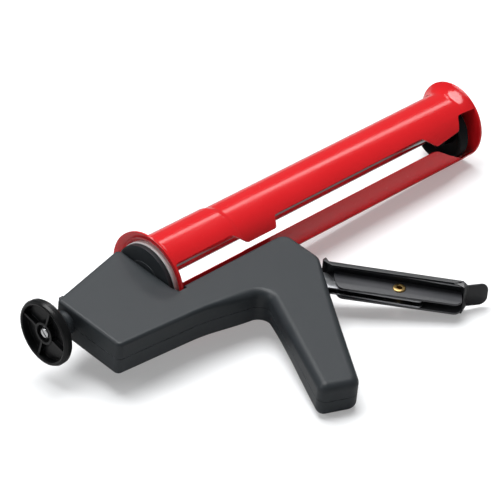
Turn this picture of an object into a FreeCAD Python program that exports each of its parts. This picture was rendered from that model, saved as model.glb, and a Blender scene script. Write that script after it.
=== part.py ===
import FreeCAD, Part
import math
import os
from FreeCAD import Placement, Rotation, Vector

# Caulking gun with a turning half-open barrel, lying on its left side.
# Millimetres. The gun's own frame: X forward along the push rod, Y away from the grip,
# Z out of the right-hand side; the rod's axis is the X axis. At the very end every
# piece is put down on the floor, on the barrel's two rings and the heel of the grip.

os.makedirs("parts", exist_ok=True)

X_AXIS = Vector(1, 0, 0)
Z_AXIS = Vector(0, 0, 1)

# ---- clearances ----
running = 0.08          # radial, shaft in bearing
seat = 0.03             # radial, pieces of one body
gap = 0.3               # between faces that pass each other

# ---- housing: two moulded halves ----
half_width = 13.25
wall = 2.5
edge_round = 2.4
grip_round = 6.0
box_rear_x = 20.0
box_front_x = 91.0
box_rear_top = 10.0
box_front_top = 27.4
box_rear_bottom = -53.0
arm_top = -31.0
arm_front_x = 195.5
arm_front_low = -66.0
grip_toe = (122.0, -180.0)
grip_heel = (95.0, -169.0)
saddle = (141.0, -70.0)
belly = (94.0, -58.5)
parting_groove = 0.35

# ---- barrel: rolled and flared steel tube ----
tube_r = 27.0
sheet = 1.5
neck_step = 0.9
neck_r = tube_r + neck_step
neck_end_x = 160.0
neck_taper = 4.0
flange_x = 95.0
flange_r = 36.0
flange_flare = 7.5      # inside radius of the bend that turns the neck out into the flange
tube_end_x = 403.5
slot_side = 147.0        # direction of the viewing slot, degrees from Y towards Z
load_side = 328.0        # direction of the loading side
load_half_angle = 80.0
load_start_x = flange_x + 18.0
load_end_margin = 5.5
load_end_x = tube_end_x - load_end_margin
tongue_start_x = 167.5
tongue_end_x = 195.0
tongue_rise = 11.5
front_tongue_back = 43.5     # behind the front edge of the tube
front_tongue_front = 19.5
notch_back = 14.5

# ---- front plate ----
bell_length = 10.0       # of the tube's belled front end
plate_t = 2.0
plate_rim = 3.0
plate_r = tube_r + plate_rim
plate_offset = 3.2
plate_offset_side = 48.0
nozzle_slot_r = 9.0

# ---- collar and retaining disc that the barrel turns on ----
collar_r = 27.5
collar_t = 3.2
collar_stand = 0.4
spigot_r = 14.0
hub_rear_x = 95.0
hub_seat_r = neck_r - sheet - 0.6    # flat front of the hub, against the end of a cartridge
disc_x = 96.4
disc_t = 2.4
hub_seat_h = 0.4
turn_x = flange_x + sheet + flange_flare      # centre of the bend between neck and flange
turn_r = neck_r + flange_flare
flare_at_disc = turn_r - math.sqrt((flange_flare + sheet) ** 2 - (turn_x - disc_x - disc_t) ** 2)
hub_r = flare_at_disc - running               # moulded hub that the barrel's flared mouth turns on
retaining_head_r = 2.9

# ---- push rod, piston and knob ----
rod_r = 4.0
rod_rear_x = 2.5
piston_set_back = 18.0
piston_x = tube_end_x - piston_set_back
piston_t = 12.0
piston_play = 1.5
piston_r = tube_r - sheet - piston_play
washer_r = 9.0
washer_t = 1.5
nut_t = 4.0
nut_across = 10.0
stud_r = 3.0
knob_r = 24.2
knob_rim = 3.0
knob_rim_w = 7.0
knob_web = 2.0
knob_rear_x = -1.5
neck_knob_r = 7.6
hub_ring_r = 8.2
hub_ring_t = 1.7
spoke_t = 1.5
screw_head_r = 3.7

# ---- bushes ----
bush_wall = 2.5
bush_neck_r = rod_r + bush_wall
bush_r = bush_neck_r + 2.0
bush_stand = 5.5
bush_depth = 6.0

# ---- trigger ----
pivot = (183.0, -68.0)
pivot_r = 3.0
boss_wall = 3.0
boss_r = pivot_r + boss_wall
short_arm = 16.0
lean_rest = 27.0
squeeze = 42.0
link_pin_r = 2.3
web_root = (200.8, -74.6)
web_knee = (254.0, -146.3)
web_tip = (273.0, -157.0)
nose_y = -65.5
trigger_half = 11.0
trigger_sheet = 1.5
trigger_side = 4.5
cheek_half = 4.7
cheek_sheet = 1.5
lever_half = 2.9
lever_sheet = 1.1
rivet_at = (222.4, -119.0)
rivet_r = 3.0
rivet_bore_r = 2.1
rivet_head_r = 4.7
rivet_head_t = 1.1

# ---- drive: plate that grips the rod, and the link that pulls it ----
drive_x = 62.0
drive_t = 2.5
drive_half = 9.0
drive_top = 11.0
link_half = 1.2
link_low = -52.5
link_high = -45.0
spring_play = 1.9
spring_wire = 1.2
spring_r = rod_r + spring_wire / 2 + spring_play
spring_turns = 5

# ---- release: plate that holds the rod between strokes, tipped by a thumb tab ----
release_x = 30.0
release_t = 2.5
release_foot = -16.0
release_axis_y = -14.0
release_half = 8.0
release_tab_half = 5.5
release_tab_top = 19.5
release_hole_r = rod_r + 0.5
release_spring_front = 43.0
release_spring_turns = 4.5

# ---- housing screws ----
screw_at = [(28.0, -43.0), (80.5, 15.2), (80.5, -30.0), (150.0, -38.6), (148.0, -92.0), (120.0, -157.0)]
post_r = 3.5
screw_r = 1.4
screw_head_w = 3.0
screw_head_h = 2.2


def polar(radius, degrees):
    """A point of the cross-section, (y, z), at an angle from Y towards Z."""
    angle = math.radians(degrees)
    return radius * math.cos(angle), radius * math.sin(angle)


def corner(before, at, after, radius):
    """Start, middle and end of the arc that rounds one corner of an outline."""
    to_before = (before - at).normalize()
    to_after = (after - at).normalize()
    half = 0.5 * to_before.getAngle(to_after)
    reach = radius / math.tan(half)
    inward = (to_before + to_after).normalize()
    centre = at + inward * (radius / math.sin(half))
    return at + to_before * reach, centre - inward * radius, at + to_after * reach


def outline(points):
    """Closed wire in the XY plane from (x, y, corner radius) points."""
    places = [Vector(x, y, 0) for x, y, _ in points]
    ends = []
    edges = []
    for i, (_, _, radius) in enumerate(points):
        at = places[i]
        if radius > 0:
            first, middle, last = corner(places[i - 1], at, places[(i + 1) % len(places)], radius)
            edges.append(Part.Arc(first, middle, last).toShape())
            ends.append((first, last))
        else:
            ends.append((at, at))
    for i, (first, _) in enumerate(ends):
        start = ends[i - 1][1]
        if start.distanceToPoint(first) > 1e-6:
            edges.append(Part.LineSegment(start, first).toShape())
    return Part.Wire(Part.__sortEdges__(edges))


def plate(points, low, high):
    """A flat plate: an outline in XY, from z = low to z = high."""
    face = Part.Face(outline(points))
    face.translate(Vector(0, 0, low))
    return face.extrude(Vector(0, 0, high - low))


def turned(points):
    """A solid turned about the X axis from (x, radius) points."""
    wire = Part.makePolygon([Vector(x, r, 0) for x, r in points + points[:1]])
    return Part.Face(wire).revolve(Vector(0, 0, 0), X_AXIS, 360)


def rod_x(radius, start, end, y=0.0, z=0.0):
    return Part.makeCylinder(radius, end - start, Vector(start, y, z), X_AXIS)


def pin_z(radius, low, high, at):
    return Part.makeCylinder(radius, high - low, Vector(at[0], at[1], low), Z_AXIS)


def towards(shape, degrees):
    """Turn a shape drawn with Z outwards so that it faces a side of the barrel."""
    turned_shape = shape.copy()
    turned_shape.rotate(Vector(0, 0, 0), X_AXIS, degrees - 90.0)
    return turned_shape


def rounded(shape, radius, chosen):
    """Fillet the edges for which chosen(edge) is true."""
    edges = [edge for edge in shape.Edges if chosen(edge)]
    return shape.makeFillet(radius, edges)


def at_height(z):
    """Picks the edges that lie at +z or -z."""
    def chosen(edge):
        box = edge.BoundBox
        return box.ZLength < 1e-4 and abs(abs(box.ZMin) - z) < 1e-4
    return chosen


# ---- housing ----
front_slope = Vector(grip_toe[0] - arm_front_x, grip_toe[1] - arm_front_low, 0).normalize()
front_normal = Vector(-front_slope.y, front_slope.x, 0)


def housing_outline():
    return [
        (box_rear_x, box_rear_top, 2.5),
        (box_front_x, box_front_top, 4.0),
        (box_front_x, arm_top, 3.0),
        (arm_front_x, arm_top, 8.0),
        (arm_front_x, arm_front_low, 12.0),
        (grip_toe[0], grip_toe[1], 8.0),
        (grip_heel[0], grip_heel[1], 6.0),
        (saddle[0], saddle[1], 8.0),
        (belly[0], belly[1], 130.0),
        (box_rear_x, box_rear_bottom, 4.0),
    ]


groove_r = flange_r + 1.0
groove_end_x = flange_x + sheet + 2.2


def edge_radius(x, y):
    """Rounding of the housing's edges: crisp on the box and arm, soft on the grip."""
    down = (arm_front_low - y) / (arm_front_low - saddle[1] + 22.0) if x > 150 else (x - belly[0]) / 38.0
    if y < saddle[1] - 12.0:
        down = 1.0
    return edge_round + (grip_round - edge_round) * max(0.0, min(1.0, down))


def soft_edges(body):
    """Rounds both outlines of the housing with a radius that grows towards the grip."""
    document = FreeCAD.newDocument("rounding")
    base = document.addObject("Part::Feature", "base")
    base.Shape = body
    fillet = document.addObject("Part::Fillet", "fillet")
    fillet.Base = base
    chosen = at_height(half_width)
    radii = []
    for number, edge in enumerate(base.Shape.Edges, start=1):
        if chosen(edge):
            first, last = edge.firstVertex(True).Point, edge.lastVertex(True).Point
            radii.append((number, edge_radius(first.x, first.y), edge_radius(last.x, last.y)))
    fillet.Edges = radii
    document.recompute()
    shape = fillet.Shape.copy()
    FreeCAD.closeDocument(document.Name)
    return shape


def housing_body():
    """Outside of both halves together, with the ring-shaped pocket for the barrel's flange."""
    body = plate(housing_outline(), -half_width, half_width)
    body = soft_edges(body)
    pocket = rod_x(groove_r, box_front_x, groove_end_x)
    body = body.cut(pocket)
    ring = Part.Face(outline(housing_outline()))
    inner = ring.makeOffset2D(-parting_groove)
    rim = ring.cut(inner)
    rim.translate(Vector(0, 0, -parting_groove / 2))
    return body.cut(rim.extrude(Vector(0, 0, parting_groove)))


def housing_cavity():
    """Room inside, less the wall round the flange pocket, the posts, bosses and stop ribs."""
    depth = half_width - wall
    face = Part.Face(outline(housing_outline())).makeOffset2D(-wall)
    face.translate(Vector(0, 0, -depth))
    cavity = face.extrude(Vector(0, 0, 2 * depth))
    cavity = cavity.cut(rod_x(groove_r + wall, box_front_x - wall, groove_end_x + wall))
    for at in screw_at:
        cavity = cavity.cut(pin_z(post_r, -half_width, half_width, at))
    for low, high in ((-half_width, -lever_half - 0.4), (lever_half + 0.4, half_width)):
        cavity = cavity.cut(pin_z(boss_r, low, high, pivot))
        rib_low, rib_high = (low, -7.0) if low < 0 < -high else (7.0, high)
        rib = Part.makeBox(3.2, 16.0, rib_high - rib_low, Vector(drive_x - gap - 3.2, -8, rib_low))
        cavity = cavity.cut(rib)
        rib = Part.makeBox(2.5, 16.0, high - low - 2.2, Vector(release_spring_front + gap, -8, max(low, low + 2.2 * (low > 0))))
        cavity = cavity.cut(rib)
    return cavity.cut(release_cradle())


def release_cradle():
    """Ribs that the foot of the release plate rocks between."""
    block = Part.makeBox(8.5, 7.0, 2 * half_width, Vector(release_x - 3.0, release_foot - 3.0, -half_width))
    slot = Part.makeBox(release_t + 1.0, 9.0, 2 * half_width, Vector(release_x - 0.5, release_foot - gap, -half_width))
    return block.cut(slot)


def trigger_slot():
    """Slot in the front of the grip that the trigger's cheeks and lever swing into."""
    top = Vector(arm_front_x, arm_front_low + 4.0, 0)
    low = top + front_slope * 74.0
    reach = front_normal * (2.5 * wall)
    out = front_normal * -6.0
    if front_normal.x > 0:
        reach, out = reach * -1, out * -1
    points = [top + out, low + out, low + reach, top + reach]
    half = cheek_half + 0.9
    return plate([(p.x, p.y, 0) for p in points], -half, half)


def housing():
    body = housing_body().cut(housing_cavity()).cut(trigger_slot())
    body = body.cut(rod_x(bush_neck_r + seat, box_rear_x - 1, box_rear_x + wall + 1))
    body = body.cut(rod_x(bush_neck_r + seat, box_front_x - wall - 1, box_front_x + 1))
    body = body.cut(pin_z(pivot_r + seat, -half_width + 1.2, half_width - 1.2, pivot))
    for y, z in retaining_screw_places():
        body = body.cut(rod_x(1.2, box_front_x - wall - 1, box_front_x + 1, y, z))
    half = release_tab_half + 0.8
    body = body.cut(Part.makeBox(8.5, 16.0, 2 * half, Vector(release_x - 1.0, 6.0, -half)))
    for at in screw_at:
        body = body.cut(pin_z(screw_r + 0.3, -half_width, 0, at))
        body = body.cut(pin_z(screw_head_w + 0.3, -half_width - 1, -half_width + screw_head_h + 0.8, at))
        body = body.cut(pin_z(screw_r, 0, half_width - wall, at))
    big = Part.makeBox(300, 300, 50, Vector(-20, -230, 0))
    right = body.common(big)
    left = body.cut(big)
    return right, left


def housing_screws():
    screws = []
    for at in screw_at:
        top = -half_width + screw_head_h + 0.8
        head = pin_z(screw_head_w, top - screw_head_h, top, at)
        slot = Part.makeBox(2 * screw_head_w, 0.9, 0.9, Vector(at[0] - screw_head_w, at[1] - 0.45, top - screw_head_h))
        cross = Part.makeBox(0.9, 2 * screw_head_w, 0.9, Vector(at[0] - 0.45, at[1] - screw_head_w, top - screw_head_h))
        shank = pin_z(screw_r - seat, top, half_width - wall - 1.5, at)
        screws.append(head.fuse(shank).cut(slot).cut(cross))
    return Part.makeCompound(screws)


# ---- barrel seat on the housing ----
def retaining_screw_places():
    return [polar(10.2, 90.0 + 120.0 * i) for i in range(3)]


def barrel_collar():
    """Disc and spigot that the barrel's mouth turns on."""
    rim_x = box_front_x + collar_stand
    body = turned([
        (box_front_x, bush_neck_r + seat), (disc_x, bush_neck_r + seat), (disc_x, spigot_r),
        (rim_x + collar_t, spigot_r), (rim_x + collar_t, collar_r), (rim_x, collar_r),
        (rim_x, spigot_r + 2), (box_front_x, spigot_r + 2),
    ])
    for y, z in retaining_screw_places():
        body = body.cut(rod_x(1.5 + seat, box_front_x - 1, disc_x + 1, y, z))
    return body


def retaining_disc():
    """White moulded hub that the flared mouth of the barrel turns on."""
    step_x = disc_x + disc_t
    face_x = step_x + hub_seat_h
    body = turned([
        (hub_rear_x, spigot_r + seat), (disc_x, spigot_r + seat), (disc_x, bush_neck_r - 1), (face_x, bush_neck_r - 1),
        (face_x, hub_seat_r), (step_x, hub_seat_r), (step_x, hub_r), (hub_rear_x, hub_r),
    ])
    body = body.cut(rod_x(bush_neck_r + seat, disc_x - 1, face_x + 1))
    for y, z in retaining_screw_places():
        sunk = Part.makeCone(1.5 + seat, retaining_head_r + seat, disc_t, Vector(disc_x, y, z), X_AXIS)
        body = body.cut(sunk).cut(rod_x(retaining_head_r + seat, step_x, face_x, y, z))
    return body


def retaining_screws():
    screws = []
    head_x = disc_x + disc_t
    for y, z in retaining_screw_places():
        head = Part.makeCone(1.5, retaining_head_r, disc_t, Vector(disc_x, y, z), X_AXIS)
        shank = rod_x(1.5, box_front_x, disc_x, y, z)
        tip = rod_x(1.2 - seat, box_front_x - wall, box_front_x, y, z)
        slot = Part.makeBox(1.0, 6.0, 0.7, Vector(head_x - 0.6, y - 3.0, z - 0.35))
        screws.append(head.fuse([shank, tip]).cut(slot))
    return Part.makeCompound(screws)


def rear_bush():
    """Bush and outer boss round the rod in the rear wall."""
    outer = box_rear_x - bush_stand
    body = turned([
        (outer, rod_r + running), (box_rear_x + bush_depth, rod_r + running),
        (box_rear_x + bush_depth, bush_neck_r), (box_rear_x, bush_neck_r),
        (box_rear_x, bush_r), (outer + 2.0, bush_r), (outer, bush_r - 1.6),
    ])
    return body


def front_bush():
    """Bush through the front wall and the collar's spigot, with its flange inside."""
    inner = box_front_x - wall
    return turned([
        (inner - 4.5, rod_r + running), (disc_x + disc_t, rod_r + running),
        (disc_x + disc_t, bush_neck_r), (inner, bush_neck_r), (inner, bush_neck_r + 2.5),
        (inner - 2.0, bush_neck_r + 2.5), (inner - 4.5, bush_neck_r - 0.3),
    ])


# ---- barrel ----
def flange_profile():
    """Wall of the barrel up to where its front end is belled out, as a closed wire in XY."""
    front = flange_x + sheet
    diagonal = math.sqrt(0.5)
    bell_x = tube_end_x - bell_length
    taper_end = neck_end_x + neck_taper

    def bend(radius, start, end):
        middle = Vector(turn_x - radius * diagonal, turn_r - radius * diagonal, 0)
        return Part.Arc(Vector(*start, 0), middle, Vector(*end, 0)).toShape()

    outer = [(front, turn_r), (front, flange_r), (flange_x, flange_r), (flange_x, turn_r)]
    inner = [
        (turn_x, neck_r - sheet), (neck_end_x, neck_r - sheet), (taper_end, tube_r - sheet), (bell_x, tube_r - sheet),
        (bell_x, tube_r), (taper_end, tube_r), (neck_end_x, neck_r), (turn_x, neck_r),
    ]
    rim = Part.makePolygon([Vector(x, r, 0) for x, r in outer])
    wall_line = Part.makePolygon([Vector(x, r, 0) for x, r in inner])
    edges = rim.Edges + wall_line.Edges
    edges.append(bend(flange_flare + sheet, outer[-1], inner[0]))
    edges.append(bend(flange_flare, inner[-1], outer[0]))
    return Part.Wire(Part.__sortEdges__(edges))


def bell(radius, rim_radius):
    """Solid inside of the belled front end: its circles grow and drift off-centre towards the rim."""
    sections = []
    drift_y, drift_z = polar(plate_offset, plate_offset_side)
    for share in (0.0, 0.35, 0.7, 1.0):
        grown = share * share
        centre = Vector(tube_end_x - bell_length * (1 - share), drift_y * grown, drift_z * grown)
        circle = Part.Circle(centre, X_AXIS, radius + (rim_radius - radius) * grown)
        sections.append(Part.Wire(circle.toShape()))
    return Part.makeLoft(sections, True)


def sideways(degrees):
    """How far a line of the tube at this angle lies from the slot's middle, seen from the slot's side."""
    return tube_r * math.sin(math.radians(slot_side - degrees))


def viewing_slot():
    """Punched slot: two tongues stand into it, and it widens to a notch behind the front plate."""
    upper = sideways(129.5)
    upper_mid = sideways(131.5)
    tongue = sideways(151.0)
    tongue_front = sideways(154.0)
    lower = sideways(160.0)
    notch_top = sideways(125.0)
    notch_low = sideways(206.0)
    start = flange_x + sheet + 6.0
    end = tube_end_x + 1.0
    front_x = tube_end_x - front_tongue_back
    front_end = tube_end_x - front_tongue_front
    notch_x = tube_end_x - notch_back
    points = [
        (start, lower, 1.5), (start, upper, 2.0), (tongue_start_x - tongue_rise, upper, 7.0),
        (tongue_start_x, tongue, 2.5), (tongue_end_x, tongue, 2.0), (tongue_end_x + 2.5, upper_mid, 3.0),
        (front_x - tongue_rise, upper_mid, 8.0), (front_x, tongue_front, 2.5), (front_end, sideways(147.5), 3.0),
        (notch_x, notch_top, 3.0), (end, notch_top, 0), (end, notch_low, 0), (notch_x, notch_low, 8.0),
        (notch_x - 17.0, sideways(180.0), 12.0), (front_x - 2.0, lower, 10.0),
    ]
    return towards(plate(points, 8.0, 45.0), slot_side)


def loading_opening():
    """The side that a cartridge is dropped in through, nearly half of the tube."""
    half = tube_r * math.sin(math.radians(load_half_angle))
    depth = tube_r * math.cos(math.radians(load_half_angle))
    points = [
        (load_start_x, -half, 4.0), (load_end_x, -half, 4.0),
        (load_end_x, half, 4.0), (load_start_x, half, 4.0),
    ]
    return towards(plate(points, depth, 45.0), load_side)


def barrel_tube():
    tube = Part.Face(flange_profile()).revolve(Vector(0, 0, 0), X_AXIS, 360)
    rim = plate_r - 0.2
    tube = tube.fuse(bell(tube_r, rim).cut(bell(tube_r - sheet, rim - sheet)))
    return tube.cut(viewing_slot()).cut(loading_opening())


def front_plate():
    """Pressed end plate, set off-centre, with the slot that the cartridge's nozzle drops through."""
    y, z = polar(plate_offset, plate_offset_side)
    disc = rod_x(plate_r, tube_end_x, tube_end_x + plate_t, y, z)
    disc = rounded(disc, 0.8, lambda edge: abs(edge.Length - 2 * math.pi * plate_r) < 1e-3)
    back, front = tube_end_x - 1, tube_end_x + plate_t + 1
    hole = rod_x(nozzle_slot_r, back, front)
    way = towards(Part.makeBox(front - back, 2 * nozzle_slot_r, 45, Vector(back, -nozzle_slot_r, 0)), load_side)
    return disc.cut(hole).cut(way)


# ---- rod ----
pocket_x = piston_x + piston_t - washer_t - nut_t - 1.0


def push_rod():
    shaft = rod_x(rod_r, rod_rear_x, piston_x)
    stud = rod_x(stud_r, piston_x, pocket_x + washer_t + nut_t + 0.6)
    bore = rod_x(2.0 + seat, rod_rear_x - 1, rod_rear_x + 12)
    return shaft.fuse(stud).cut(bore)


def piston():
    """Disc with a turned-back skirt and a hub, and a pocket that the washer and nut lie in."""
    front = piston_x + piston_t
    skirt = 1.6
    pocket_r = washer_r + 0.6
    hub_r = pocket_r + 2.4
    return turned([
        (piston_x, stud_r + seat), (pocket_x, stud_r + seat), (pocket_x, pocket_r), (front, pocket_r),
        (front, piston_r - 3.0), (front - 3.0, piston_r), (piston_x + 1.0, piston_r),
        (piston_x + 1.0, piston_r - skirt), (front - 3.2, piston_r - skirt - 0.6), (front - 3.2, hub_r),
        (piston_x, hub_r - 1.0),
    ])


def piston_washer():
    start = pocket_x
    return turned([(start, stud_r + seat), (start + washer_t, stud_r + seat), (start + washer_t, washer_r), (start, washer_r)])


def piston_nut():
    start = pocket_x + washer_t
    corner_r = nut_across / math.sqrt(3)
    points = [Vector(start, *polar(corner_r, 60.0 * i)) for i in range(7)]
    nut = Part.Face(Part.makePolygon(points)).extrude(Vector(nut_t, 0, 0))
    return nut.cut(rod_x(stud_r + seat, start - 1, start + nut_t + 1))


def knob():
    """Dished pull knob: rounded rim, four spokes, hub ring, tapered back."""
    rear = knob_rear_x
    rim_front = rear + knob_rim_w
    end = box_rear_x - bush_stand - gap
    floor_x = rim_front - knob_web
    body = turned([
        (rod_rear_x, 0), (end, 0), (end, neck_knob_r), (rim_front + 2.2, neck_knob_r + 5.0),
        (rim_front, knob_r - 1.4), (rim_front - 1.6, knob_r - 0.2), (rear + 2.2, knob_r), (rear + 0.5, knob_r - 0.8),
        (rear, knob_r - knob_rim + 0.9), (rear + 0.4, knob_r - knob_rim), (floor_x, knob_r - knob_rim - 0.6),
        (floor_x, hub_ring_r), (rear + 1.0, hub_ring_r), (rear + 1.0, hub_ring_r - hub_ring_t),
        (rod_rear_x, hub_ring_r - hub_ring_t),
    ])
    for i in range(4):
        length = knob_r - knob_rim - hub_ring_r + 1.0
        spoke = Part.makeBox(floor_x - rear - 1.4, length, spoke_t, Vector(rear + 1.4, hub_ring_r - 0.5, -spoke_t / 2))
        spoke.rotate(Vector(0, 0, 0), X_AXIS, 12.0 + 90.0 * i)
        body = body.fuse(spoke)
    return body.cut(rod_x(rod_r + seat, rod_rear_x, end + 1))


def knob_screw():
    head_x = rod_rear_x
    head = rod_x(screw_head_r, head_x - 2.4, head_x)
    head = rounded(head, 0.8, lambda edge: edge.BoundBox.XMax < head_x - 2.3)
    shank = rod_x(2.0, head_x, head_x + 10)
    slot = Part.makeBox(1.3, 9, 1.1, Vector(head_x - 2.5, -4.5, -0.55))
    slot.rotate(Vector(0, 0, 0), X_AXIS, 40)
    return head.fuse(shank).cut(slot)


# ---- trigger ----
along = Vector(web_knee[0] - web_root[0], web_knee[1] - web_root[1], 0).normalize()
inward = Vector(along.y, -along.x, 0)


def beside(point, down, depth):
    """A point down the trigger from a point of its finger face, and depth behind that face."""
    place = Vector(point[0], point[1], 0) + along * down + inward * depth
    return place.x, place.y


def trigger_shell():
    """Pressed finger channel with shallow sides and a flared, rounded tip."""
    flare = Vector(web_tip[0] - web_knee[0], web_tip[1] - web_knee[1], 0).normalize()
    flare_in = Vector(flare.y, -flare.x, 0)
    half = trigger_half

    def band(depth, tip_depth, stop):
        knee_in = beside(web_knee, -stop, depth)
        tip_in = Vector(web_tip[0], web_tip[1], 0) + flare_in * tip_depth
        knee_sheet = beside(web_knee, -stop * 0.3, tip_depth)
        return [
            (web_root[0], nose_y, 2.0), (web_root[0], web_root[1], 6.0), (web_knee[0], web_knee[1], 16.0),
            (web_tip[0], web_tip[1], 0), (tip_in.x, tip_in.y, 0), (knee_sheet[0], knee_sheet[1], 0),
            (knee_in[0], knee_in[1], 0), (*beside(web_root, 2.0, depth), 0),
            (web_root[0] - depth, nose_y - 1.0, 0),
        ]

    body = plate(band(trigger_side, trigger_sheet, 5.0), -half, half)
    inner_half = half - trigger_sheet
    room = plate([
        (web_root[0] - trigger_sheet, nose_y + 3.0, 0), (*beside(web_root, 0.4, trigger_sheet), 0),
        (*beside(web_knee, 0.5, trigger_sheet), 0), (*beside(web_knee, 3.0, trigger_side + 3), 0),
        (*beside(web_root, 0.0, trigger_side + 3), 0), (web_root[0] - trigger_side - 3, nose_y + 3.0, 0),
    ], -inner_half, inner_half)
    body = body.cut(room)
    return body.cut(tip_corners(flare))


def tip_corners(flare):
    """What is cut away to round the two corners of the finger tip."""
    radius = 7.5
    end = Vector(web_tip[0], web_tip[1], 0)
    deep = Vector(flare.y, -flare.x, 0)
    cutters = []
    for side in (-1, 1):
        block = Part.makeBox(radius + 2, 12, radius + 2, Vector(-radius, -6, trigger_half - radius))
        block = block.cut(Part.makeCylinder(radius, 14, Vector(-radius, -7, trigger_half - radius), Vector(0, 1, 0)))
        if side < 0:
            block = block.mirror(Vector(0, 0, 0), Z_AXIS)
        block.Placement = Placement(end, Rotation(flare, deep, Vector(0, 0, 0), "XYZ"))
        cutters.append(block)
    return cutters


def cheek_outline():
    tip = beside(web_knee, 2.0, trigger_sheet)
    return [
        (*beside(web_root, 1.0, trigger_sheet), 1.5), (192.4, -86.2, 4.0), (190.2, -93.2, 5.0),
        (243.8, -159.6, 5.5), (tip[0], tip[1], 2.5),
    ]


def trigger_cheeks():
    """Inner channel: two deep cheeks that clamp the lever, and the back that joins them."""
    body = plate(cheek_outline(), -cheek_half, cheek_half)
    start = beside(web_root, -30.0, trigger_sheet + cheek_sheet)
    stop = beside(web_knee, 30.0, trigger_sheet + cheek_sheet)
    deep_stop = beside(web_knee, 30.0, 40.0)
    deep_start = beside(web_root, -30.0, 40.0)
    half = cheek_half - cheek_sheet
    body = body.cut(plate([(*p, 0) for p in (start, stop, deep_stop, deep_start)], -half, half))
    return body.cut(pin_z(rivet_r + seat, -20, 20, rivet_at))


def link_pin_place():
    angle = math.radians(lean_rest)
    return pivot[0] - short_arm * math.sin(angle), pivot[1] + short_arm * math.cos(angle)


def trigger_lever():
    """Folded lever of plated sheet: two plates joined by a fold along their front edge."""
    top = link_pin_place()
    front = trigger_sheet + cheek_sheet + 0.4
    arm = plate([
        (top[0] - 4.2, top[1] + 4.2, 4.0), (top[0] + 4.2, top[1] + 4.2, 4.0), (pivot[0] + 8.5, pivot[1] + 2.0, 5.0),
        (*beside(web_root, 3.5, front), 5.0), (*beside(rivet_at, 20.0, -6.0), 4.0), (225.6, -137.6, 3.0),
        (189.6, -90.0, 8.0), (pivot[0] - 8.0, pivot[1] - 6.0, 6.0),
    ], -lever_half, lever_half)
    inner = lever_half - lever_sheet
    reach = 2 * squeeze
    fold = front + lever_sheet
    split = plate([
        (pivot[0] - reach, pivot[1] - 15.0, 0), (*beside(web_root, 6.0, fold + 10.0), 0), (*beside(web_root, 12.0, fold), 0),
        (*beside(rivet_at, 40.0, fold - 14.0), 0), (*beside(rivet_at, 40.0, 60.0), 0), (150.0, -150.0, 0),
    ], -inner, inner)
    arm_split = plate([
        (pivot[0] - reach, pivot[1] + 60.0, 0), (pivot[0] + 30.0, pivot[1] + 60.0, 0),
        (*beside(web_root, 6.0, -20.0), 0), (*beside(web_root, 6.0, 60.0), 0), (100.0, -120.0, 0),
    ], -inner, inner)
    body = arm.cut(split).cut(arm_split)
    body = body.cut(pin_z(pivot_r + running, -20, 20, pivot))
    body = body.cut(pin_z(link_pin_r + seat, -20, 20, top))
    return body.cut(pin_z(rivet_r + seat, -20, 20, rivet_at))


def trigger_rivet():
    """Tubular rivet through both cheeks and the lever."""
    head_low = cheek_half
    body = pin_z(rivet_r, -head_low, head_low, rivet_at)
    for low in (-head_low - rivet_head_t, head_low):
        body = body.fuse(pin_z(rivet_head_r, low, low + rivet_head_t, rivet_at))
    body = rounded(body, 0.9, lambda edge: at_height(head_low + rivet_head_t)(edge) and edge.Length > 20)
    return body.cut(pin_z(rivet_bore_r, -20, 20, rivet_at))


def link_pin():
    at = link_pin_place()
    body = pin_z(link_pin_r, -lever_half, lever_half, at)
    for low in (-lever_half - 0.8, lever_half):
        body = body.fuse(pin_z(link_pin_r + 0.9, low, low + 0.8, at))
    return body


def pivot_pin():
    return pin_z(pivot_r, -half_width + 1.4, half_width - 1.4, pivot)


# ---- drive ----
def drive_link():
    """Flat bar in the arm: eye with an upright slot at the front, cross head behind the plate."""
    pin = link_pin_place()
    slot_half = link_pin_r + 0.35
    front = pin[0] + slot_half + 1.9
    back = pin[0] - slot_half - 4.0
    rear = drive_x - 2.5
    bar = plate([
        (rear, link_low, 0), (rear, link_high, 0), (front, link_high, 2.0), (front, pin[1] - 6.0, 2.0),
        (back, pin[1] - 6.0, 2.0), (back - 6.0, link_low, 4.0),
    ], -link_half, link_half)
    top = pivot[1] + short_arm + slot_half
    eye = plate([
        (pin[0] - slot_half, top, slot_half - 0.1), (pin[0] + slot_half, top, slot_half - 0.1),
        (pin[0] + slot_half, pin[1] - 3.4, slot_half - 0.1), (pin[0] - slot_half, pin[1] - 3.4, slot_half - 0.1),
    ], -5, 5)
    head = Part.makeBox(2.5, link_high - link_low, 10.0, Vector(rear, link_low, -5.0))
    return bar.cut(eye).fuse(head)


def drive_plate():
    """Hardened plate round the rod; pulled forward at its lower end it tips and grips."""
    low = link_low - 0.6
    body = Part.makeBox(drive_t, drive_top - low, 2 * drive_half, Vector(drive_x, low, -drive_half))
    body = rounded(body, 3.0, lambda edge: edge.BoundBox.XLength > drive_t - 0.01 and edge.BoundBox.YLength < 1e-3
                   and edge.BoundBox.ZLength < 1e-3)
    body = body.cut(rod_x(rod_r + running, drive_x - 1, drive_x + drive_t + 1))
    slot = Part.makeBox(drive_t + 2, link_high - link_low, 2 * link_half, Vector(drive_x - 1, link_low, -link_half))
    return body.cut(slot)


def release_plate():
    """Plate that lets the rod run forward only, with its thumb tab through the roof."""
    top = box_rear_top - 2.0
    body = Part.makeBox(release_t, top - release_foot, 2 * release_half, Vector(release_x, release_foot, -release_half))
    tab = Part.makeBox(release_t, release_tab_top - top + 2, 2 * release_tab_half,
                       Vector(release_x, top - 2, -release_tab_half))
    body = body.fuse(tab).removeSplitter()
    body = rounded(body, 2.5, lambda edge: edge.BoundBox.YMin > release_tab_top - 1e-3 and edge.BoundBox.ZLength < 1e-3)
    return body.cut(rod_x(release_hole_r, release_x - 1, release_x + release_t + 1))


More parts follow.
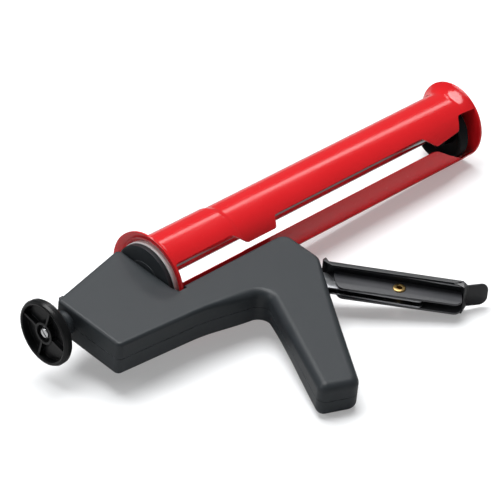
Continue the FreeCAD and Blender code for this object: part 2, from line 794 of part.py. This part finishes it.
def release_spring():
    """Coil spring round the rod that tips the release plate back."""
    return coil_spring(release_x + release_t, release_spring_front + gap, release_spring_turns)


def drive_spring():
    """Coil spring round the rod that brings the plate, link and trigger back."""
    return coil_spring(drive_x + drive_t, box_front_x - wall - 4.5, spring_turns)


def coil_spring(behind, ahead, turns):
    start = behind + gap + spring_wire / 2
    end = ahead - gap - spring_wire / 2
    pitch = (end - start) / turns
    helix = Part.makeHelix(pitch, end - start, spring_r)
    circle = Part.Wire(Part.Circle(Vector(spring_r, 0, 0), Vector(0, 1, 0), spring_wire / 2).toShape())
    coil = Part.Wire(helix).makePipeShell([circle], True, True)
    coil.rotate(Vector(0, 0, 0), Vector(0, 1, 0), 90)
    coil.translate(Vector(start, 0, 0))
    return coil


# ---- lying on the floor ----
def lying(roll):
    """Turn that brings the flange and the front plate down level, with the gun rolled by this angle."""
    z = polar(plate_offset, plate_offset_side + math.degrees(roll))[1]
    span = tube_end_x + plate_t / 2 - (flange_x + sheet / 2)
    pitch = math.atan2(flange_r - (plate_r - z), span)
    turn = Rotation(Vector(0, 1, 0), math.degrees(pitch)).multiply(Rotation(X_AXIS, math.degrees(roll)))
    floor = -flange_r * math.cos(pitch) - (flange_x + sheet / 2) * math.sin(pitch)
    return turn, floor


def resting_place(shell):
    """Placement that lays the gun on the flange, the front plate and the end of the grip.

    The gun rolls on its two rings until the lowest point of the housing is on the floor too.
    """
    skin = shell.tessellate(0.05)[0]
    too_little, too_much = 0.0, 0.3
    for step in range(20):
        roll = 0.5 * (too_little + too_much)
        turn, floor = lying(roll)
        if min(turn.multVec(point).z for point in skin) > floor:
            too_little = roll
        else:
            too_much = roll
    return Placement(Vector(0, 0, 0), turn)


def pieces():
    right, left = housing()
    return {
        "housing_right_shell": right,
        "housing_left_shell": left,
        "housing_screws": housing_screws(),
        "barrel_collar": barrel_collar(),
        "retaining_disc": retaining_disc(),
        "retaining_screws": retaining_screws(),
        "rear_rod_bush": rear_bush(),
        "front_rod_bush": front_bush(),
        "trigger_pivot_pin": pivot_pin(),
        "barrel_tube": barrel_tube(),
        "barrel_front_plate": front_plate(),
        "push_rod": push_rod(),
        "piston": piston(),
        "piston_washer": piston_washer(),
        "piston_nut": piston_nut(),
        "knob": knob(),
        "knob_screw": knob_screw(),
        "trigger_shell": trigger_shell(),
        "trigger_cheeks": trigger_cheeks(),
        "trigger_lever": trigger_lever(),
        "trigger_rivet": trigger_rivet(),
        "lever_link_pin": link_pin(),
        "drive_link": drive_link(),
        "drive_plate": drive_plate(),
        "drive_spring": drive_spring(),
        "release_plate": release_plate(),
        "release_spring": release_spring(),
    }


made = pieces()
place = resting_place(made["housing_left_shell"])
footprint = FreeCAD.BoundBox()
for shape in made.values():
    shape.Placement = place.multiply(shape.Placement)
    footprint.add(shape.optimalBoundingBox(False))
origin = Vector(footprint.Center.x, footprint.Center.y, footprint.ZMin)
for name, shape in made.items():
    shape.translate(origin * -1)
    shape.exportStep("parts/" + name + ".step")
    print(name, len(shape.Solids), shape.isValid(), round(shape.Volume, 1))
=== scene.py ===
import math

import bpy
from mathutils import Euler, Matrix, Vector


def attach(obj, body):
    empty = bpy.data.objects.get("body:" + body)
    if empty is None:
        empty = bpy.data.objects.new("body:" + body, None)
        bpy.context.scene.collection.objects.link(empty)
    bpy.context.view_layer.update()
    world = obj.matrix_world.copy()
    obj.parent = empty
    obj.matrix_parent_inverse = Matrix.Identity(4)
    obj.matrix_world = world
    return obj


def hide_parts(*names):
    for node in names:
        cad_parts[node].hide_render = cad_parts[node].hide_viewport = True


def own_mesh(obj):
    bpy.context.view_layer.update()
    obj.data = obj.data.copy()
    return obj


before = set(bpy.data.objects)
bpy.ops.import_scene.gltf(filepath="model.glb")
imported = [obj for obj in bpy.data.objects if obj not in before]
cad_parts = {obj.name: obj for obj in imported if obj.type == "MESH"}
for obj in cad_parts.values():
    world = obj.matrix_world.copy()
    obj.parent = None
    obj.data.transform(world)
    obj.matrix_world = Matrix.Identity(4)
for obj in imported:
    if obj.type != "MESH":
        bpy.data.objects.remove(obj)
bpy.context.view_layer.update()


# ---------------------------------------------------------------- housing
# Two moulded halves of glass-filled nylon, spark-eroded to a fine satin grain. They are
# screwed together from the left, so a hairline groove runs round the parting plane. The
# collar that the barrel's mouth turns against, and the rod's rear bush, are the same plastic.

def value_noise(nodes, links, source, scale, detail):
    """Soft noise on the piece's own coordinates, as a value from 0 to 1."""
    noise = nodes.new("ShaderNodeTexNoise")
    noise.inputs["Scale"].default_value = scale
    noise.inputs["Detail"].default_value = detail
    noise.inputs["Roughness"].default_value = 0.55
    links.new(source, noise.inputs["Vector"])
    return noise.outputs["Fac"]


def mapped(nodes, links, source, low, high, to_low, to_high):
    """Stretch the values between low and high to the two given ends."""
    ramp = nodes.new("ShaderNodeMapRange")
    ramp.inputs["From Min"].default_value = low
    ramp.inputs["From Max"].default_value = high
    ramp.inputs["To Min"].default_value = to_low
    ramp.inputs["To Max"].default_value = to_high
    links.new(source, ramp.inputs["Value"])
    return ramp.outputs["Result"]


def effect_group(name, inputs, outputs):
    """Start a node group, and hand back its input and output nodes too."""
    group = bpy.data.node_groups.new(name, "ShaderNodeTree")
    for title, kind, value in inputs:
        socket = group.interface.new_socket(title, in_out="INPUT", socket_type=kind)
        if value is not None:
            socket.default_value = value
    for title, kind in outputs:
        group.interface.new_socket(title, in_out="OUTPUT", socket_type=kind)
    start = group.nodes.new("NodeGroupInput")
    end = group.nodes.new("NodeGroupOutput")
    return group, start, end


def gloss_between(nodes, links, cloud, start):
    """Let the cloud swing the roughness between the group's two gloss inputs."""
    rough = nodes.new("ShaderNodeMapRange")
    rough.inputs["From Min"].default_value = 0.3
    rough.inputs["From Max"].default_value = 0.7
    links.new(cloud, rough.inputs["Value"])
    links.new(start.outputs["Gloss Low"], rough.inputs["To Min"])
    links.new(start.outputs["Gloss High"], rough.inputs["To Max"])
    return rough.outputs["Result"]


surface_outputs = [("Height", "NodeSocketFloat"), ("Roughness", "NodeSocketFloat"),
                   ("Shade", "NodeSocketFloat")]


def moulded_grain():
    """Fine erosion grain with slow gloss variation and faint handling marks."""
    group, start, end = effect_group(
        "moulded_grain",
        [("Vector", "NodeSocketVector", None), ("Grain", "NodeSocketFloat", 2600.0),
         ("Gloss Low", "NodeSocketFloat", 0.4), ("Gloss High", "NodeSocketFloat", 0.5)],
        surface_outputs)
    nodes, links = group.nodes, group.links
    grain = nodes.new("ShaderNodeTexNoise")
    grain.inputs["Detail"].default_value = 2.0
    links.new(start.outputs["Vector"], grain.inputs["Vector"])
    links.new(start.outputs["Grain"], grain.inputs["Scale"])
    cloud = value_noise(nodes, links, start.outputs["Vector"], 38.0, 3.0)
    gloss = gloss_between(nodes, links, cloud, start)
    links.new(grain.outputs["Fac"], end.inputs["Height"])
    links.new(gloss, end.inputs["Roughness"])
    links.new(cloud, end.inputs["Shade"])
    return group


rubbed_width = 0.0007      # how far the rubbing reaches in from an edge


def edge_wear():
    """Mask that is 1 on sharp outer edges, broken up so that it reads as rubbing."""
    group, start, end = effect_group(
        "edge_wear",
        [("Vector", "NodeSocketVector", None), ("Break Up", "NodeSocketFloat", 260.0)],
        [("Mask", "NodeSocketFloat")])
    nodes, links = group.nodes, group.links
    geometry = nodes.new("ShaderNodeNewGeometry")
    rounded_normal = nodes.new("ShaderNodeBevel")
    rounded_normal.samples = 4
    rounded_normal.inputs["Radius"].default_value = rubbed_width
    facing = nodes.new("ShaderNodeVectorMath")
    facing.operation = "DOT_PRODUCT"
    links.new(rounded_normal.outputs[0], facing.inputs[0])
    links.new(geometry.outputs["Normal"], facing.inputs[1])
    edge = mapped(nodes, links, facing.outputs["Value"], 0.985, 0.90, 0.0, 1.0)
    patch = nodes.new("ShaderNodeTexNoise")
    patch.inputs["Detail"].default_value = 3.0
    links.new(start.outputs["Vector"], patch.inputs["Vector"])
    links.new(start.outputs["Break Up"], patch.inputs["Scale"])
    broken = mapped(nodes, links, patch.outputs["Fac"], 0.4, 0.62, 0.0, 1.0)
    both = nodes.new("ShaderNodeMath")
    both.operation = "MULTIPLY"
    links.new(edge, both.inputs[0])
    links.new(broken, both.inputs[1])
    links.new(both.outputs[0], end.inputs["Mask"])
    return group


grain_effect = moulded_grain()
wear_effect = edge_wear()


def new_material(name):
    """An empty material with its shader, and the piece's own coordinates to draw on."""
    material = bpy.data.materials.new(name)
    material.use_nodes = True
    nodes, links = material.node_tree.nodes, material.node_tree.links
    nodes.clear()
    shader = nodes.new("ShaderNodeBsdfPrincipled")
    output = nodes.new("ShaderNodeOutputMaterial")
    links.new(shader.outputs["BSDF"], output.inputs["Surface"])
    place = nodes.new("ShaderNodeTexCoord")
    return material, nodes, links, shader, place.outputs["Object"]


def placed(nodes, links, effect, vector, **values):
    """Set one of the shared effects in a material, with that material's own values."""
    node = nodes.new("ShaderNodeGroup")
    node.node_tree = effect
    links.new(vector, node.inputs["Vector"])
    for key, value in values.items():
        node.inputs[key.replace("_", " ")].default_value = value
    return node


colour_a, colour_b, colour_out = 6, 7, 2      # a Mix node's colour sockets


def mixed(nodes, links, factor, first, second):
    """Blend two plain colours by the factor."""
    mix = nodes.new("ShaderNodeMix")
    mix.data_type = "RGBA"
    mix.inputs[colour_a].default_value = (*first, 1.0)
    mix.inputs[colour_b].default_value = (*second, 1.0)
    links.new(factor, mix.inputs["Factor"])
    return mix.outputs[colour_out]


def tinted(nodes, links, factor, base, colour):
    """Lay a plain colour over a drawn one, where the factor says."""
    mix = nodes.new("ShaderNodeMix")
    mix.data_type = "RGBA"
    mix.inputs[colour_b].default_value = (*colour, 1.0)
    links.new(factor, mix.inputs["Factor"])
    links.new(base, mix.inputs[colour_a])
    return mix.outputs[colour_out]


broken_edge = 0.0004      # the small rounding that every moulded or pressed edge has


def bumped(nodes, links, height, shader, strength, distance):
    """Soften the edges and raise the grain on the shader's normal."""
    softened = nodes.new("ShaderNodeBevel")
    softened.samples = 4
    softened.inputs["Radius"].default_value = broken_edge
    bump = nodes.new("ShaderNodeBump")
    links.new(softened.outputs[0], bump.inputs["Normal"])
    bump.inputs["Strength"].default_value = strength
    bump.inputs["Distance"].default_value = distance
    links.new(height, bump.inputs["Height"])
    links.new(bump.outputs["Normal"], shader.inputs["Normal"])


def worn_finish(name, effect, dark, light, worn, strength, **values):
    """A cloudy two-tone surface with its own grain, rubbed to a third tone on the edges."""
    material, nodes, links, shader, vector = new_material(name)
    surface = placed(nodes, links, effect, vector, **values)
    wear = placed(nodes, links, wear_effect, vector)
    base = mixed(nodes, links, surface.outputs["Shade"], dark, light)
    colour = tinted(nodes, links, wear.outputs["Mask"], base, worn)
    links.new(colour, shader.inputs["Base Color"])
    links.new(surface.outputs["Roughness"], shader.inputs["Roughness"])
    bumped(nodes, links, surface.outputs["Height"], shader, strength, 0.0001)
    return material, shader


def plastic(name, dark, light, worn, low, high, grain, strength, specular):
    material, shader = worn_finish(name, grain_effect, dark, light, worn, strength,
                                   Grain=grain, Gloss_Low=low, Gloss_High=high)
    shader.inputs["Specular IOR Level"].default_value = specular
    return material


def dress(material, *names):
    """Give the material to each of these CAD pieces."""
    for name in names:
        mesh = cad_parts[name].data
        mesh.materials.clear()
        mesh.materials.append(material)


housing_plastic = plastic("housing_plastic", (0.018, 0.022, 0.025), (0.028, 0.032, 0.036),
                          (0.060, 0.066, 0.072), 0.36, 0.46, 2600.0, 0.35, 0.24)
dress(housing_plastic, "housing_right_shell", "housing_left_shell", "barrel_collar",
      "rear_rod_bush")


# ---------------------------------------------------------------- housing screws
# Six cross-head screws of blackened steel, sunk in round pockets of the left half. The
# plates, link and pin of the drive inside are the same steel.

def bare_metal():
    """Fine drawn or ground lines along X, with soft cloudy variation of gloss."""
    group, start, end = effect_group(
        "bare_metal",
        [("Vector", "NodeSocketVector", None), ("Along", "NodeSocketFloat", 30.0),
         ("Across", "NodeSocketFloat", 2200.0), ("Gloss Low", "NodeSocketFloat", 0.2),
         ("Gloss High", "NodeSocketFloat", 0.3)],
        surface_outputs)
    nodes, links = group.nodes, group.links
    stretch = nodes.new("ShaderNodeCombineXYZ")
    links.new(start.outputs["Along"], stretch.inputs["X"])
    links.new(start.outputs["Across"], stretch.inputs["Y"])
    links.new(start.outputs["Across"], stretch.inputs["Z"])
    scaled = nodes.new("ShaderNodeVectorMath")
    scaled.operation = "MULTIPLY"
    links.new(start.outputs["Vector"], scaled.inputs[0])
    links.new(stretch.outputs[0], scaled.inputs[1])
    lines = value_noise(nodes, links, scaled.outputs[0], 1.0, 2.0)
    cloud = value_noise(nodes, links, start.outputs["Vector"], 55.0, 3.0)
    gloss = gloss_between(nodes, links, cloud, start)
    links.new(lines, end.inputs["Height"])
    links.new(gloss, end.inputs["Roughness"])
    links.new(cloud, end.inputs["Shade"])
    return group


metal_effect = bare_metal()


def metal(name, dark, light, low, high, along, across, strength):
    material, nodes, links, shader, vector = new_material(name)
    surface = placed(nodes, links, metal_effect, vector, Along=along, Across=across,
                     Gloss_Low=low, Gloss_High=high)
    colour = mixed(nodes, links, surface.outputs["Shade"], dark, light)
    links.new(colour, shader.inputs["Base Color"])
    links.new(surface.outputs["Roughness"], shader.inputs["Roughness"])
    shader.inputs["Metallic"].default_value = 1.0
    bumped(nodes, links, surface.outputs["Height"], shader, strength, 0.00005)
    return material


dark_steel = metal("dark_steel", (0.10, 0.10, 0.105), (0.16, 0.16, 0.165),
                   0.3, 0.42, 400.0, 900.0, 0.3)
dress(dark_steel, "housing_screws", "drive_link", "drive_plate", "release_plate", "lever_link_pin")


# ---------------------------------------------------------------- knob and piston
# Black acetal, darker than the housing: the dished pull knob with its four spokes, moulded
# smooth, and the duller piston on the rod's other end.

black_plastic = plastic("black_plastic", (0.0028, 0.0030, 0.0034), (0.0045, 0.0048, 0.0054),
                        (0.02, 0.02, 0.022), 0.26, 0.36, 1500.0, 0.12, 0.26)
dress(black_plastic, "knob")

piston_plastic = plastic("piston_plastic", (0.0022, 0.0024, 0.0030), (0.0034, 0.0037, 0.0045),
                         (0.012, 0.012, 0.014), 0.52, 0.62, 1500.0, 0.2, 0.10)
dress(piston_plastic, "piston")


# ---------------------------------------------------------------- hub and front bush
# The hub is a moulding screwed to the collar's spigot, and keeps the barrel's flared
# mouth from coming off. Its plain white colour is a painted reflection: it stands in for the
# bright light seen round its rim, just outside the mouth. The grey bush in its middle guides the
# rod.

# painted reflection: a matte white stands in for the bright light on the hub's rim
white_plastic = plastic("white_plastic", (0.76, 0.77, 0.77), (0.82, 0.83, 0.83),
                        (0.88, 0.88, 0.88), 0.32, 0.42, 1800.0, 0.15, 0.5)
dress(white_plastic, "retaining_disc")

grey_plastic = plastic("grey_plastic", (0.11, 0.115, 0.12), (0.15, 0.155, 0.16),
                       (0.22, 0.22, 0.23), 0.35, 0.45, 1800.0, 0.2, 0.5)
dress(grey_plastic, "front_rod_bush")


# ---------------------------------------------------------------- barrel
# Rolled and flared steel tube and its pressed end plate, sprayed with a thick glossy red
# enamel that shows a little orange peel and goes thin and darker on the cut edges.

def sprayed_enamel():
    """Orange peel, slow tone drift and pin-prick dust of a sprayed coat."""
    group, start, end = effect_group(
        "sprayed_enamel",
        [("Vector", "NodeSocketVector", None), ("Peel", "NodeSocketFloat", 420.0),
         ("Gloss Low", "NodeSocketFloat", 0.16), ("Gloss High", "NodeSocketFloat", 0.26)],
        surface_outputs)
    nodes, links = group.nodes, group.links
    peel = nodes.new("ShaderNodeTexNoise")
    peel.inputs["Detail"].default_value = 1.5
    links.new(start.outputs["Vector"], peel.inputs["Vector"])
    links.new(start.outputs["Peel"], peel.inputs["Scale"])
    cloud = value_noise(nodes, links, start.outputs["Vector"], 22.0, 4.0)
    fine = value_noise(nodes, links, start.outputs["Vector"], 900.0, 2.0)
    dust = mapped(nodes, links, fine, 0.68, 0.74, 0.0, 0.12)
    gloss = gloss_between(nodes, links, cloud, start)
    total = nodes.new("ShaderNodeMath")
    total.operation = "ADD"
    links.new(gloss, total.inputs[0])
    links.new(dust, total.inputs[1])
    links.new(peel.outputs["Fac"], end.inputs["Height"])
    links.new(total.outputs[0], end.inputs["Roughness"])
    links.new(cloud, end.inputs["Shade"])
    return group


enamel_effect = sprayed_enamel()


def enamel(name, dark, light, edge, low, high, strength):
    return worn_finish(name, enamel_effect, dark, light, edge, strength,
                       Gloss_Low=low, Gloss_High=high)[0]


red_enamel = enamel("red_enamel", (0.510, 0.008, 0.011), (0.565, 0.010, 0.014),
                    (0.36, 0.010, 0.012), 0.13, 0.19, 0.10)
dress(red_enamel, "barrel_tube", "barrel_front_plate")


# ---------------------------------------------------------------- rod and plated pieces
# Cold-drawn steel rod, screws, washer and nut in bright zinc plate. The folded lever is
# plated too, and has gone duller.

zinc_plate = metal("zinc_plate", (0.62, 0.63, 0.64), (0.78, 0.79, 0.80),
                   0.16, 0.26, 60.0, 2600.0, 0.2)
dress(zinc_plate, "push_rod", "retaining_screws", "piston_washer", "piston_nut", "knob_screw",
      "trigger_pivot_pin")
dull_plate = metal("dull_plate", (0.30, 0.31, 0.325), (0.42, 0.43, 0.445),
                   0.24, 0.36, 60.0, 2600.0, 0.2)
dress(dull_plate, "trigger_lever")


# ---------------------------------------------------------------- trigger
# Two nested pressed channels in black enamel, held to the lever by a tubular brass rivet.
# The inner channel's cheeks get a lighter grey paint. That is a painted sheen: it stands in for
# the broad reflection of the overhead light on their flat faces.

black_enamel = enamel("black_enamel", (0.006, 0.0065, 0.008), (0.010, 0.011, 0.0135),
                      (0.04, 0.04, 0.045), 0.30, 0.40, 0.12)
# painted sheen: the cheeks' lighter grey stands in for the overhead light's reflection on black
# enamel
cheek_painted_sheen_enamel = enamel("cheek_painted_sheen_enamel", (0.034, 0.035, 0.039), (0.044, 0.045, 0.050),
                      (0.08, 0.08, 0.085), 0.34, 0.44, 0.12)
dress(cheek_painted_sheen_enamel, "trigger_cheeks")

# the finger channel is one strip of sheet: web, nose bend, flared tip and two folded sides
web_length = 0.08928
web_width = 0.022
half_web = 0.011
side_depth = 0.0042
sheet_thickness = 0.0014

bpy.ops.object.select_all(action="DESELECT")
bpy.ops.mesh.primitive_plane_add(size=1.0, location=(web_length / 2, 0.0, 0.0),
                                 rotation=(math.radians(90), 0.0, 0.0))
channel = bpy.context.object
channel.name = "finger_channel"
bpy.ops.object.transform_apply(location=True, rotation=True, scale=True)
bpy.ops.object.mode_set(mode="EDIT")
bpy.ops.transform.resize(value=(web_length, 1.0, web_width),
                         center_override=(web_length / 2, 0.0, 0.0))


def pick_edges(piece, wanted):
    """Select the edges whose two ends both lie where this says."""
    bpy.ops.mesh.select_mode(type="EDGE")
    bpy.ops.mesh.select_all(action="DESELECT")
    bpy.ops.object.mode_set(mode="OBJECT")
    points = piece.data.vertices
    for edge in piece.data.edges:
        edge.select = all(wanted(points[index].co) for index in edge.vertices)
    bpy.ops.object.mode_set(mode="EDIT")


def pick_points(piece, wanted):
    """Select the corners that lie where this says."""
    bpy.ops.mesh.select_mode(type="VERT")
    bpy.ops.mesh.select_all(action="DESELECT")
    bpy.ops.object.mode_set(mode="OBJECT")
    for point in piece.data.vertices:
        point.select = wanted(point.co)
    bpy.ops.object.mode_set(mode="EDIT")


def pulled(x, y, z):
    """Draw the selected edges out, and leave the new ones selected."""
    bpy.ops.mesh.extrude_region_move(TRANSFORM_OT_translate={"value": (x, y, z)})


# the tip goes on from the web's front end, and narrows on its way
pick_edges(channel, lambda at: at.x > 0.0892)
pulled(0.0060, 0.0024, 0.0)
bpy.ops.transform.resize(value=(1.0, 1.0, 0.82), center_override=(0.0953, 0.0024, 0.0))
pulled(0.0139, 0.0065, 0.0)
# a short nose turns up at the rear end
pick_edges(channel, lambda at: abs(at.x) < 1e-5)
pulled(-0.0066, 0.0036, 0.0)
# the sides fold down, and each front corner is cut back
for side in (-1.0, 1.0):
    pick_edges(channel, lambda at: at.z * side > 0.0109 and at.x < 0.0893)
    pulled(0.0, -side_depth, side * 0.0003)
    pick_points(channel, lambda at: at.x > 0.089 and at.y < -0.004)
    bpy.ops.transform.translate(value=(-0.004, 0.0028, 0.0))
# bends across the strip, folds along it, and the tip's round corners
pick_edges(channel, lambda at: abs(at.z) < 0.01101
           and (abs(at.x - web_length) < 1e-5 or abs(at.x) < 1e-5))
bpy.ops.mesh.bevel(offset=0.0035, segments=4, affect="EDGES")
pick_edges(channel, lambda at: abs(abs(at.z) - half_web) < 1e-5
           and -0.01 < at.x < 0.0893 and at.y > -0.001)
bpy.ops.mesh.bevel(offset=0.0019, segments=4, affect="EDGES")
pick_points(channel, lambda at: at.x > 0.109)
bpy.ops.mesh.bevel(offset=0.0060, segments=7, affect="VERTICES")
bpy.ops.mesh.select_all(action="SELECT")
bpy.ops.mesh.remove_doubles(threshold=0.00001)
bpy.ops.mesh.normals_make_consistent(inside=False)
bpy.ops.object.mode_set(mode="OBJECT")
sheet = channel.modifiers.new("sheet", "SOLIDIFY")
sheet.thickness = sheet_thickness
sheet.offset = 0.0
sheet.use_even_offset = True
bpy.ops.object.modifier_apply(modifier=sheet.name)
edges = channel.modifiers.new("edges", "BEVEL")
edges.width = 0.0004
edges.segments = 2
edges.limit_method = "ANGLE"
edges.angle_limit = math.radians(50)
bpy.ops.object.modifier_apply(modifier=edges.name)
bpy.ops.object.mode_set(mode="EDIT")
bpy.ops.mesh.select_all(action="SELECT")
bpy.ops.mesh.normals_make_consistent(inside=False)
bpy.ops.object.mode_set(mode="OBJECT")
bpy.ops.object.shade_smooth_by_angle(angle=math.radians(35))
# it leans down from the arm, and then lies as the gun does
channel.rotation_euler = (0.0, 0.0, math.radians(-53.426))
channel.location = (0.2002, -0.07505, 0.0)
bpy.ops.object.transform_apply(location=True, rotation=True, scale=True)

gun_tilt = (0.129058, 0.027957, 0.0)
gun_start = (-0.202057, 0.070794, 0.038683)


def lay_down(piece):
    """Turn a piece drawn along the rod's axis the way the gun lies, and put it in place."""
    bpy.ops.object.select_all(action="DESELECT")
    piece.select_set(True)
    bpy.context.view_layer.objects.active = piece
    piece.rotation_euler = gun_tilt
    piece.location = gun_start
    bpy.ops.object.transform_apply(location=True, rotation=True, scale=True)


lay_down(channel)
channel.data.materials.append(black_enamel)
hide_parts("trigger_shell")
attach(channel, "trigger")

rivet_brass = metal("rivet_brass", (0.42, 0.28, 0.10), (0.55, 0.38, 0.16),
                    0.25, 0.38, 900.0, 900.0, 0.3)
dress(rivet_brass, "trigger_rivet")


# ---------------------------------------------------------------- springs
# Two open coils of drawn steel wire round the rod: a long one brings the drive plate back,
# and a short one tips the release plate. Their front ends rest against the housing.

spring_steel = metal("spring_steel", (0.30, 0.30, 0.30), (0.42, 0.42, 0.42),
                     0.28, 0.4, 300.0, 1600.0, 0.3)
wire_radius = 0.0006
coil_radius = 0.0065
wire_sides = 12
steps_per_turn = 28


def coil(name, rear, front, turns):
    """Wind round wire about the rod's axis, and close its two cut ends."""
    bpy.ops.object.select_all(action="DESELECT")
    bpy.ops.mesh.primitive_circle_add(vertices=wire_sides, radius=wire_radius,
                                      location=(rear, 0.0, coil_radius),
                                      rotation=(math.radians(90), 0.0, 0.0))
    piece = bpy.context.object
    piece.name = name
    bpy.ops.object.transform_apply(location=True, rotation=True, scale=True)
    winding = piece.modifiers.new("winding", "SCREW")
    winding.axis = "X"
    winding.iterations = turns
    winding.screw_offset = (front - rear) / turns
    winding.steps = steps_per_turn
    winding.render_steps = steps_per_turn
    bpy.ops.object.modifier_apply(modifier=winding.name)
    bpy.ops.object.mode_set(mode="EDIT")
    bpy.ops.mesh.select_all(action="SELECT")
    bpy.ops.mesh.fill_holes(sides=wire_sides)
    bpy.ops.mesh.select_all(action="SELECT")
    bpy.ops.mesh.normals_make_consistent(inside=False)
    bpy.ops.object.mode_set(mode="OBJECT")
    bpy.ops.object.shade_smooth_by_angle(angle=math.radians(40))
    lay_down(piece)
    piece.data.materials.append(spring_steel)
    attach(piece, "handle")
    return piece


drive_coil = coil("drive_coil", 0.0654, 0.0831, 5)
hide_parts("drive_spring")
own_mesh(drive_coil)

release_coil = coil("release_coil", 0.0334, 0.0424, 4)
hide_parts("release_spring")
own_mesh(release_coil)


# ---------------------------------------------------------------- floor, light and camera
# A pale seamless floor, one broad soft light above and behind the barrel, a narrow one that
# draws the streak along the tube, and a weak fill from behind. The floor throws back less
# in reflections than it shows to the eye, so that the gun's sides stay dark.

bpy.ops.object.select_all(action="DESELECT")
bpy.ops.mesh.primitive_plane_add(size=14.0, location=(0.0, 0.0, -0.0002))
floor = bpy.context.object
floor.name = "studio_floor"
floor_paper, nodes, links, shader, vector = new_material("floor_paper")
shader.inputs["Roughness"].default_value = 0.6
shader.inputs["Specular IOR Level"].default_value = 0.25
tone = value_noise(nodes, links, vector, 3.0, 3.0)
paper = mixed(nodes, links, tone, (0.62, 0.63, 0.64), (0.64, 0.65, 0.66))
reflected = nodes.new("ShaderNodeLightPath").outputs["Is Glossy Ray"]
links.new(tinted(nodes, links, reflected, paper, (0.36, 0.36, 0.36)), shader.inputs["Base Color"])
glow = mixed(nodes, links, reflected, (1.0, 1.0, 1.0), (0.0, 0.0, 0.0))
links.new(glow, shader.inputs["Emission Color"])
shader.inputs["Emission Strength"].default_value = 0.30
floor.data.materials.append(floor_paper)

world = bpy.data.worlds.new("studio")
bpy.context.scene.world = world
world.use_nodes = True
background = world.node_tree.nodes["Background"]
background.inputs["Color"].default_value = (1.0, 1.0, 1.0, 1.0)
background.inputs["Strength"].default_value = 0.15


def soft_light(name, place, aim, width, height, power):
    """A soft round or oval lamp at this place, turned towards the aim."""
    data = bpy.data.lights.new(name, "AREA")
    data.shape = "ELLIPSE"
    data.size = width
    data.size_y = height
    data.energy = power
    light = bpy.data.objects.new(name, data)
    bpy.context.scene.collection.objects.link(light)
    light.location = place
    light.rotation_euler = (Vector(aim) - Vector(place)).to_track_quat("-Z", "Y").to_euler()


soft_light("overhead", (0.1, 0.5, 2.1), (0.0, 0.0, 0.0), 1.9, 1.9, 75.0)
soft_light("strip", (1.48, 1.05, 1.62), (0.0, 0.05, 0.03), 1.5, 0.26, 5.0)
soft_light("rear_fill", (-1.5, 0.9, 1.2), (-0.1, 0.05, 0.03), 0.8, 0.8, 9.0)

camera_data = bpy.data.cameras.new("camera")
camera_data.lens = 230.4
camera_data.sensor_width = 36.0
camera = bpy.data.objects.new("camera", camera_data)
bpy.context.scene.collection.objects.link(camera)
camera_angles = (56.9526, 1.7526, -43.97)
camera.location = (-1.30957, -1.33128, 1.25771)
camera.rotation_euler = tuple(math.radians(angle) for angle in camera_angles)
bpy.context.scene.camera = camera
bpy.context.scene.view_settings.view_transform = "Standard"
